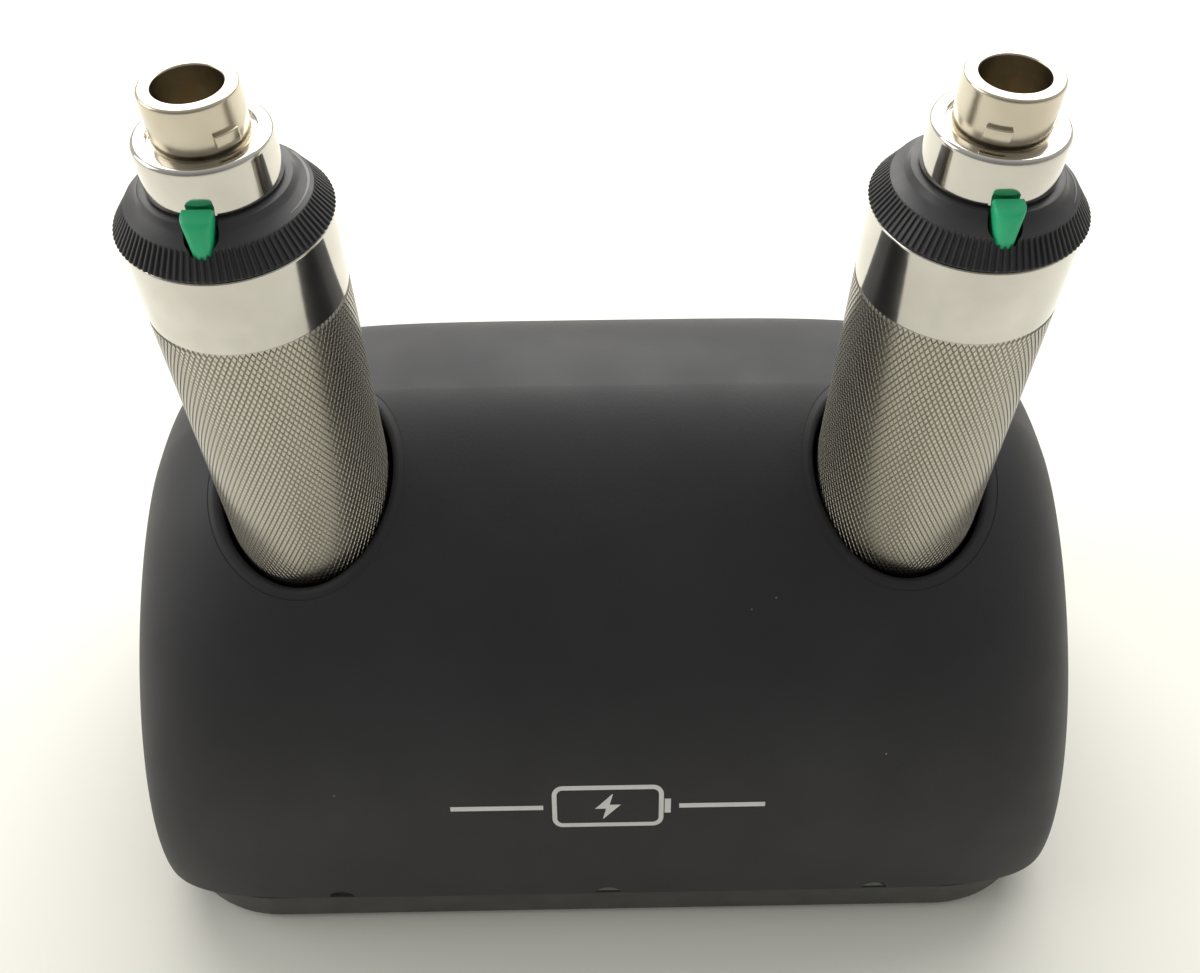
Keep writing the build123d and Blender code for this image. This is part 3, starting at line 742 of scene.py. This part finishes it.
def knurl_sector(name, count, depth, low, high, row_mm, land):
    """Two neighbouring columns of flat-topped diamonds and the tube's wall behind."""
    rows = 2 * int(round((high - low) / row_mm / 2))
    half = math.pi / count
    shape = bmesh.new()

    def point(column, row, radius):
        z = low + (high - low) * row / rows
        turn = column * half
        return shape.verts.new((radius * math.cos(turn), radius * math.sin(turn), z))

    for middle in (0, 1):
        for row in range(1 + middle, rows, 2):
            places = ((middle - 1, row), (middle, row - 1), (middle + 1, row), (middle, row + 1))
            outer = [point(c, r, TUBE_R - depth) for c, r in places]
            inner = [
                point(middle + (c - middle) * land, row + (r - row) * land, TUBE_R)
                for c, r in places
            ]
            shape.faces.new(inner)
            for step in range(4):
                on = (step + 1) % 4
                shape.faces.new((outer[step], outer[on], inner[on], inner[step]))
    floor_r = TUBE_R - depth
    shape.faces.new((point(0, 0, floor_r), point(2, 0, floor_r), point(1, 1, floor_r)))
    shape.faces.new((point(0, rows, floor_r), point(1, rows - 1, floor_r), point(2, rows, floor_r)))
    rim = ((0, floor_r), (0, TUBE_INNER_R), (rows, TUBE_INNER_R), (rows, floor_r))
    for (row, radius), (next_row, next_radius) in zip(rim, rim[1:]):
        corners = (
            (0, row, radius), (0, next_row, next_radius),
            (2, next_row, next_radius), (2, row, radius),
        )
        shape.faces.new([point(*corner) for corner in corners])
    return new_object(name, shape)


RING_OUTLINE = (
    # radius, height from the ring plane, and how deep the groove between ribs is there
    (8.47, -0.15, 0.0), (14.2, -0.15, 0.0), (14.45, -0.08, 0.1), (14.7, 0.15, 0.25),
    (14.7, 0.35, 0.32), (14.6, 0.5, 0.32), (12.78, 2.95, 0.3), (12.5, 3.36, 0.2),
    (12.36, 3.57, 0.0), (12.1, 3.72, 0.0), (11.4, 4.1, 0.0), (10.75, 4.62, 0.0),
    (10.5, 4.85, 0.0), (10.2, 5.4, 0.0),
    (10.05, 5.64, 0.0), (9.85, 5.72, 0.0), (9.3, 5.72, 0.0), (8.47, 5.72, 0.0),
)
# Across one rib: place as a share of its pitch, and the share of the groove's depth.
RIB_COLUMNS = (
    (-0.5, 1.0), (-0.3, 1.0), (-0.17, 0.1), (-0.08, 0.0),
    (0.08, 0.0), (0.17, 0.1), (0.3, 1.0), (0.5, 1.0),
)
# The way out of the ribbed slope, as shares of radius and height.
RIB_NORMAL = (0.8327, 0.5536)


def rib_sector(name, count, depth_scale):
    """One rib of the ring with its share of the ring's section, about the z axis."""
    shape = bmesh.new()
    columns = []
    for place, dip in RIB_COLUMNS:
        turn = place * 2 * math.pi / count - math.pi / 2
        column = []
        for radius, height, depth in RING_OUTLINE:
            sunk = depth * dip * depth_scale
            r = radius - sunk * RIB_NORMAL[0]
            z = height - sunk * RIB_NORMAL[1]
            column.append(shape.verts.new((r * math.cos(turn), r * math.sin(turn), z)))
        columns.append(column)
    size = len(RING_OUTLINE)
    for a, b in zip(columns, columns[1:]):
        for step in range(size):
            on = (step + 1) % size
            shape.faces.new((a[step], b[step], b[on], a[on]))
    return new_object(name, shape)


# ---------------------------------------------------------------- settings

def number(name, description, default, kind=FloatProperty, **limits):
    """One setting of a property group."""
    return kind(name=name, description=description, default=default, **limits)


class StandLook(PropertyGroup):
    grain: number("Grain", "Width of the cover's moulded grain, in millimetres", 0.38, min=0.1)
    mark_width: number("Mark width", "Width of the battery mark, in millimetres", 19.0, min=5.0)
    mark_height: number("Mark height", "Height of the battery mark, in millimetres", 8.0, min=2.0)
    mark_z: number("Mark place", "Height of the printed mark over the table, in millimetres", 36.0)


class HandleLook(PropertyGroup):
    diamonds: number("Diamonds", "Knurl diamonds round the grip", 106, IntProperty, min=24)
    diamond_height: number("Diamond height", "Height of one diamond, in millimetres", 1.62, min=0.4)
    knurl_depth: number("Knurl depth", "Depth of the grooves, in millimetres", 0.2, min=0.02)
    land: number("Land", "Share of a diamond's width that is flat on top", 0.66, min=0.1, max=0.95)
    ribs: number("Ribs", "Ribs round the control ring", 96, IntProperty, min=24)
    rib_depth: number(
        "Rib depth", "Share of the full depth of the grooves between ribs", 1.0, min=0.0, max=1.5
    )


class StudioLook(PropertyGroup):
    floor_colour: number("Floor colour", "Paper's sRGB hex code", "#F4F3EB", StringProperty)
    window: number("Window light", "Strength of the window light, in watts", 15.0, min=0.0)
    room: number("Room light", "Strength of the light from the white room", 0.72, min=0.0)
    eye: number(
        "Camera place", "Where the camera stands", (-0.002203, -0.132595, 0.23155),
        FloatVectorProperty, subtype="XYZ", unit="LENGTH", precision=5,
    )
    lens: number("Lens", "Focal length in millimetres", 34.978)


# ---------------------------------------------------------------- studio

class STAND_OT_studio(Operator):
    """Makes the camera, the pale floor, the window light and the room"""

    bl_idname = "charging_stand.studio"
    bl_label = "Studio"

    def execute(self, context):
        look = context.scene.studio_look
        scene = context.scene
        lens = bpy.data.cameras.new("camera")
        lens.lens = look.lens
        lens.sensor_width = 36.0
        lens.sensor_fit = "HORIZONTAL"
        lens.clip_start = 0.01
        lens.dof.use_dof = False
        camera = bpy.data.objects.new("camera", lens)
        right, up = Vector(CAMERA_RIGHT), Vector(CAMERA_UP)
        turn = Matrix((right, up, right.cross(up))).transposed().to_4x4()
        camera.matrix_world = Matrix.Translation(look.eye) @ turn
        scene.collection.objects.link(camera)
        scene.camera = camera

        shape = bmesh.new()
        half = 1600.0
        corners = [(-half, -half), (half, -half), (half, half), (-half, half)]
        shape.faces.new([shape.verts.new((x, y, -TABLE_GAP)) for x, y in corners])
        floor = new_object("floor", shape)
        finish, tree, place = new_material("paper_matt_white")
        # Heavy paper: broad soft ripples, no shine.
        finish_surface(
            finish,
            Base_Color=linear(look.floor_colour),
            Roughness=0.9,
            Specular_IOR_Level=0.2,
            Normal=raised(tree, noise(tree, place, 55.0, 1.0), 1.2, 0.25),
        )
        floor.data.materials.append(finish)

        for name, place, aim, size, watts in (
            ("window_light", (0.05, 0.75, 0.75), (0.0, 0.0, 0.06), (1.5, 0.9), look.window),
            ("left_light", (-0.9, 0.1, 0.5), (0.0, 0.0, 0.08), (0.6, 0.6), look.window * 0.15),
        ):
            lamp = bpy.data.lights.new(name, "AREA")
            lamp.shape = "RECTANGLE"
            lamp.size, lamp.size_y = size
            lamp.energy = watts
            lamp.color = (1.0, 0.985, 0.95)
            holder = bpy.data.objects.new(name, lamp)
            facing = (Vector(aim) - Vector(place)).to_track_quat("-Z", "Y").to_matrix().to_4x4()
            holder.matrix_world = Matrix.Translation(place) @ facing
            scene.collection.objects.link(holder)

        world = bpy.data.worlds.new("room")
        world.use_nodes = True
        tree = world.node_tree
        tree.nodes.clear()
        direction = add(tree, "ShaderNodeTexCoord").outputs["Generated"]
        parts = add(tree, "ShaderNodeSeparateXYZ", {0: direction}).outputs
        # The room is white behind and above, and dimmer on the side the viewer stands.
        brightness = {0: mapped(tree, parts["Y"], -0.9, 0.6, 0.36), 1: look.room}
        strength = add(tree, "ShaderNodeMath", brightness, operation="MULTIPLY").outputs[0]
        sky = add(tree, "ShaderNodeBackground", {"Color": linear("#FFFEFA"), "Strength": strength})
        add(tree, "ShaderNodeOutputWorld", {0: sky.outputs[0]})
        scene.world = world
        scene.view_settings.view_transform = "Standard"
        return {"FINISHED"}


class STAND_OT_finishes(Operator):
    """Makes every material and gives each inner CAD piece its own"""

    bl_idname = "charging_stand.finishes"
    bl_label = "Finishes"

    def execute(self, context):
        FINISHES.update(make_finishes(context.scene.stand_look))
        for name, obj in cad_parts.items():
            plain = name.removeprefix("left_").removeprefix("right_")
            slot = NODE_SLOTS.get(plain)
            if slot:
                obj.data.materials.clear()
                obj.data.materials.append(FINISHES[slot])
        return {"FINISHED"}


# ---------------------------------------------------------------- stand

class STAND_OT_cover(Operator):
    """Builds the moulded cover with its wells, lamp notches and inlet cut-out"""

    bl_idname = "charging_stand.cover"
    bl_label = "Cover"

    def execute(self, context):
        cover = cover_solid("cover", 0.0, 150, 72, 56)
        cover = combine(cover, cover_cavity(), "DIFFERENCE")
        for side in SIDES:
            low, high = node_box(f"{side}_battery_tube")
            cover = combine(cover, well_cutter("well", (low + high) / 2), "DIFFERENCE")
            cover = combine(cover, lamp_notch(((low + high) / 2).x), "DIFFERENCE")
        cover = combine(cover, lamp_notch(0.0), "DIFFERENCE")
        low, high = node_box("power_inlet")
        half_x = (high.x - low.x) / 2 + INLET_GAP
        near, far = high.y - NOTCH_DEPTH, high.y + NOTCH_DEPTH
        outline = [(-half_x, near), (half_x, near), (half_x, far), (-half_x, far)]
        opening = prism("opening", outline, PARTING_Z - OVERCUT, high.z + INLET_GAP)
        cover = combine(cover, opening, "DIFFERENCE")
        shade(tidy_mesh(cover), 38)
        cover = weigh_normals(cover)
        settle(cover, "stand", "cover_plastic", "top_cover")
        return {"FINISHED"}


class STAND_OT_fittings(Operator):
    """Refines the base plate, feet, screws, lenses, inlet, wells and contact pins"""

    bl_idname = "charging_stand.fittings"
    bl_label = "Base and fittings"

    def execute(self, context):
        for node in ("base_plate", "rubber_feet", "case_screws", "lamp_lenses", "power_inlet"):
            settle(welded_copy(node, f"{node}_piece"), "stand", NODE_SLOTS[node], node)
        for side in SIDES:
            node = f"{side}_well_liner"
            settle(welded_copy(node, f"{node}_piece"), "stand", "liner_plastic", node)
            for pin in ("centre_pin", "outer_pin"):
                node = f"{side}_{pin}"
                settle(welded_copy(node, f"{node}_piece"), f"{node}_body", "contact_brass", node)
        return {"FINISHED"}


def front_ribbon(shape, path, width):
    """Adds a printed line of quads that follows (x, height) points on the front."""
    count = len(path)
    closed = (Vector(path[0]) - Vector(path[-1])).length < 1e-6
    if closed:
        path = path[:-1]
        count -= 1
    rails = []
    for step, point in enumerate(path):
        before = Vector(path[step - 1] if step or closed else point)
        after = Vector(path[(step + 1) % count] if step < count - 1 or closed else point)
        along = (after - before).normalized()
        aside = Vector((-along.y, along.x)) * width / 2
        here = Vector(point)
        rails.append([shape.verts.new(on_front(place)) for place in (here + aside, here - aside)])
    pairs = zip(rails, rails[1:] + rails[:1]) if closed else zip(rails, rails[1:])
    for a, b in pairs:
        shape.faces.new((a[0], a[1], b[1], b[0]))


def on_front(point):
    """A point of the front skin, from its x and its height up the front."""
    return (point[0], cover_front(point[0], point[1]), point[1])


# A lightning bolt in three bands: low and high edge, then each side's x at both.
BOLT_PARTS = (
    (-2.6, -0.4, (-0.9, -0.3), (-0.75, 1.45)),
    (-0.4, 0.4, (-2.3, -1.45), (1.45, 2.3)),
    (0.4, 2.6, (-1.45, 0.75), (0.3, 0.9)),
)


class STAND_OT_mark(Operator):
    """Prints a plain battery mark between two rules on the front of the cover"""

    bl_idname = "charging_stand.mark"
    bl_label = "Printed mark"

    def execute(self, context):
        look = context.scene.stand_look
        shape = bmesh.new()
        half_x, half_z, z = look.mark_width / 2, look.mark_height / 2, look.mark_z
        outline = [(x, z + dz) for x, dz in rounded_rectangle(half_x, half_z, 1.5, 6)]
        dense = []
        for a, b in zip(outline, outline[1:] + outline[:1]):
            pieces = max(1, int((Vector(b) - Vector(a)).length / 0.6))
            dense += [tuple(Vector(a).lerp(Vector(b), k / pieces)) for k in range(pieces)]
        front_ribbon(shape, dense + dense[:1], 0.85)
        nub = [(half_x + 1.15, z - 1.5 + 3.0 * k / 8) for k in range(9)]
        front_ribbon(shape, nub, 1.1)
        for side in (-1, 1):
            start = side * (half_x + (3.2 if side > 0 else 2.0))
            rule = [(start + side * (28.0 - abs(start)) * k / 24, z) for k in range(25)]
            front_ribbon(shape, rule, 0.9)
        for low_z, high_z, left, right in BOLT_PARTS:
            rows = []
            for step in range(7):
                share = step / 6
                dz = low_z + (high_z - low_z) * share
                ends = [low_x + (high_x - low_x) * share for low_x, high_x in (left, right)]
                rows.append([shape.verts.new(on_front((x, z + dz))) for x in ends])
            for a, b in zip(rows, rows[1:]):
                shape.faces.new((a[0], a[1], b[1], b[0]))
        bmesh.ops.recalc_face_normals(shape, faces=shape.faces)
        for face in shape.faces:
            if face.normal.y > 0:
                face.normal_flip()
        for vert in shape.verts:
            vert.co += Vector((0.0, -0.02, 0.012))
        mark = new_object("battery_mark", shape)
        settle(inked(mark, 0.05), "stand", "printed_ink")
        return {"FINISHED"}


# ---------------------------------------------------------------- handles

class STAND_OT_grips(Operator):
    """Cuts the diamond knurl on both battery tubes"""

    bl_idname = "charging_stand.grips"
    bl_label = "Knurled grips"

    def execute(self, context):
        look = context.scene.handle_look
        for side in SIDES:
            node = f"{side}_battery_tube"
            low, high = node_box(node)
            axis = handle_axis(side)
            row = look.diamond_height / 2
            sizes = (look.diamonds, look.knurl_depth, low.z, high.z, row, look.land)
            sector = knurl_sector(f"{side}_grip", *sizes)
            grip = repeat_round(sector, look.diamonds, "knurled_chrome")
            tidy_mesh(grip)
            shift(grip, Vector((axis.x, axis.y, 0)))
            settle(grip, f"{side}_handle", "knurled_chrome", node)
        return {"FINISHED"}


class STAND_OT_collars(Operator):
    """Turns the bright collar and neck of each handle"""

    bl_idname = "charging_stand.collars"
    bl_label = "Collars and necks"

    def execute(self, context):
        for side in SIDES:
            axis = handle_axis(side)
            low, high = node_box(f"{side}_upper_collar")
            bottom, top = low.z - axis.z, high.z - axis.z
            collar = lathe(
                f"{side}_collar",
                (
                    (12.4, bottom), (13.1, bottom, 0.2), (13.1, bottom + 6, 0.0),
                    (14.3, bottom + 6, 0.25), (14.3, top, 0.4), (13.0, top, 0.1),
                    (13.0, -3.7, 0.1), (7.0, -3.7, 0.1),
                    (7.0, -5.2, 0.1), (12.4, -5.2, 0.1),
                ),
                axis,
            )
            collar = weigh_normals(shade(collar, 32))
            settle(collar, f"{side}_handle", "bright_chrome", f"{side}_upper_collar")
            low, high = node_box(f"{side}_neck")
            bottom, top = low.z - axis.z, high.z - axis.z
            neck = lathe(
                f"{side}_bright_neck",
                (
                    (6.0, bottom, 0.1), (8.4, bottom, 0.2), (8.4, 6.0, 0.05), (9.0, 6.0, 0.12),
                    (9.0, top, 0.8), (7.05, top, 0.15), (7.05, top - 0.8, 0.1),
                    (6.0, top - 0.8, 0.02),
                ),
                axis,
            )
            neck = weigh_normals(shade(neck, 32))
            settle(neck, f"{side}_handle", "bright_chrome", f"{side}_neck")
        return {"FINISHED"}


def arc_block(name, centre, inner, outer, low, high, middle, span, steps=14):
    """A short raised block that follows a circle, square to it at both ends."""
    shape = bmesh.new()
    rows = []
    for step in range(steps + 1):
        turn = math.radians(middle - 90 + span * (step / steps - 0.5))
        row = []
        for radius, height in ((inner, low), (outer, low), (outer, high), (inner, high)):
            x, y = centre.x + radius * math.cos(turn), centre.y + radius * math.sin(turn)
            row.append(shape.verts.new((x, y, centre.z + height)))
        rows.append(row)
    skin(shape, rows)
    return soften(closed_object(name, shape), 0.16, 50)


class STAND_OT_tips(Operator):
    """Turns the bayonet tips, with their lugs, and the contacts inside"""

    bl_idname = "charging_stand.tips"
    bl_label = "Bayonet tips"

    def execute(self, context):
        for side in SIDES:
            axis = handle_axis(side)
            low, high = node_box(f"{side}_bayonet_tip")
            seat = node_box(f"{side}_tip_insulator")[1].z - axis.z
            bottom, top = low.z - axis.z, high.z - axis.z
            tip = lathe(
                f"{side}_tip",
                (
                    (3.0, bottom), (6.0, bottom), (6.0, 11.8), (6.3, 11.8), (6.3, top, 0.55),
                    (4.45, top, 0.3), (4.45, seat), (4.25, seat), (4.25, bottom + 1.5),
                    (3.0, bottom + 1.5),
                ),
                axis,
            )
            for turn in (LUG_TURN[side], LUG_TURN[side] + 180):
                sizes = (TIP_R - 0.3, TIP_R + 0.6, LUG_BOTTOM, LUG_TOP, turn, LUG_SPAN)
                lug = arc_block("lug", axis, *sizes)
                tip = combine(tip, lug, "UNION")
            tip = weigh_normals(shade(tidy_mesh(tip), 35))
            settle(tip, f"{side}_handle", "nickel_plate", f"{side}_bayonet_tip")
            for part in ("tip_insulator", "tip_plunger", "end_cap", "charge_button", "charge_ring"):
                node = f"{side}_{part}"
                body = "plunger" if part == "tip_plunger" else "handle"
                settle(welded_copy(node, f"{node}_piece"), f"{side}_{body}", NODE_SLOTS[part], node)
        return {"FINISHED"}


def button_pocket(name, axis):
    """Tool for the pocket that the lock button sits in."""
    turns = [math.radians(180 + 180 * step / 24) for step in range(25)]
    nose = [(2.25 * math.cos(turn), -10.7 + 2.25 * math.sin(turn)) for turn in turns]
    outline = [(axis.x + x, axis.y + y) for x, y in nose + [(2.25, -9.15), (-2.25, -9.15)]]
    return prism(name, outline, axis.z + 0.55, axis.z + 9)


class STAND_OT_rings(Operator):
    """Builds the ribbed control rings and their plain brightness marks"""

    bl_idname = "charging_stand.rings"
    bl_label = "Control rings"

    def execute(self, context):
        look = context.scene.handle_look
        for side in SIDES:
            axis = handle_axis(side)
            ring = rib_sector(f"{side}_control_ring", look.ribs, look.rib_depth)
            ring = shift(repeat_round(ring, look.ribs, "ring_plastic"), axis)
            ring = combine(ring, button_pocket("pocket", axis), "DIFFERENCE")
            ring = weigh_normals(shade(tidy_mesh(ring), 28))
            settle(ring, f"{side}_ring", "ring_plastic", f"{side}_rheostat_ring")
            mark = brightness_mark(f"{side}_brightness_mark", axis)
            settle(mark, f"{side}_ring", "scale_mark")
        return {"FINISHED"}


def brightness_mark(name, axis):
    """A printed wedge that widens round the ring's smooth land."""
    shape = bmesh.new()
    steps = 28
    rails = []
    for step in range(steps + 1):
        share = step / steps
        turn = math.radians(-90 + 62 + 72 * share)
        wide = 0.04 + 0.22 * share
        rail = []
        for offset in (-wide, wide):
            radius = 11.72 + offset
            height = 3.572 + (12.36 - radius) * 0.5521 + 0.02
            rail.append(shape.verts.new((radius * math.cos(turn), radius * math.sin(turn), height)))
        rails.append(rail)
    for a, b in zip(rails, rails[1:]):
        shape.faces.new((a[0], a[1], b[1], b[0]))
    for face in shape.faces:
        face.normal_update()
        if face.normal.z < 0:
            face.normal_flip()
    return shift(inked(new_object(name, shape), 0.03), axis)


# Height from the ring plane, how far out the nose reaches there, and half the width.
BUTTON_LEVELS = (
    (1.9, 12.75, 1.45), (2.6, 12.75, 1.45), (3.3, 12.68, 1.5), (4.0, 12.55, 1.58),
    (4.8, 12.38, 1.7), (5.6, 12.18, 1.84), (6.3, 11.98, 1.96), (6.75, 11.8, 2.03),
    (7.02, 11.5, 2.05), (7.22, 11.0, 2.04), (7.38, 10.5, 1.98), (7.48, 10.1, 1.85), (7.5, 9.9, 1.7),
)
BUTTON_BACK = 9.35


class STAND_OT_buttons(Operator):
    """Moulds the green lock buttons"""

    bl_idname = "charging_stand.buttons"
    bl_label = "Lock buttons"

    def execute(self, context):
        for side in SIDES:
            axis = handle_axis(side)
            shape = bmesh.new()
            levels = []
            for up, nose, half in BUTTON_LEVELS:
                level = []
                for step in range(33):
                    turn = math.pi * step / 32
                    x = -math.copysign(half * abs(math.cos(turn)) ** 0.72, math.cos(turn))
                    depth = (nose - BUTTON_BACK) * (0.45 + 0.55 * math.sin(turn) ** 0.72)
                    level.append((x, BUTTON_BACK + depth))
                level += [(half, BUTTON_BACK), (-half, BUTTON_BACK)]
                places = [(axis.x + x, axis.y - out, axis.z + up) for x, out in level]
                levels.append([shape.verts.new(place) for place in places])
            skin(shape, levels)
            button = soften(closed_object(f"{side}_green_button", shape), 0.12, 60)
            button = weigh_normals(shade(button, 45))
            settle(button, f"{side}_button", "button_plastic", f"{side}_lock_button")
        return {"FINISHED"}


OPERATORS = (
    STAND_OT_studio, STAND_OT_finishes, STAND_OT_cover, STAND_OT_fittings, STAND_OT_mark,
    STAND_OT_grips, STAND_OT_collars, STAND_OT_tips, STAND_OT_rings, STAND_OT_buttons,
)


class STAND_PT_panel(Panel):
    """Lists the pieces of the charging stand and their settings"""

    bl_label = "Charging stand"
    bl_idname = "STAND_PT_panel"
    bl_space_type = "VIEW_3D"
    bl_region_type = "UI"
    bl_category = "Charging stand"

    def draw(self, context):
        scene = context.scene
        for settings in (scene.stand_look, scene.handle_look, scene.studio_look):
            for name in settings.__annotations__:
                self.layout.prop(settings, name)
        for operator in OPERATORS:
            self.layout.operator(operator.bl_idname)


CLASSES = (StandLook, HandleLook, StudioLook) + OPERATORS + (STAND_PT_panel,)


def register():
    for item in CLASSES:
        bpy.utils.register_class(item)
    bpy.types.Scene.stand_look = PointerProperty(type=StandLook)
    bpy.types.Scene.handle_look = PointerProperty(type=HandleLook)
    bpy.types.Scene.studio_look = PointerProperty(type=StudioLook)


def unregister():
    for name in ("studio_look", "handle_look", "stand_look"):
        delattr(bpy.types.Scene, name)
    for item in reversed(CLASSES):
        bpy.utils.unregister_class(item)


def main():
    register()
    for operator in OPERATORS:
        group, name = operator.bl_idname.split(".")
        getattr(getattr(bpy.ops, group), name)()
    bpy.context.view_layer.update()


if __name__ == "__main__":
    main()
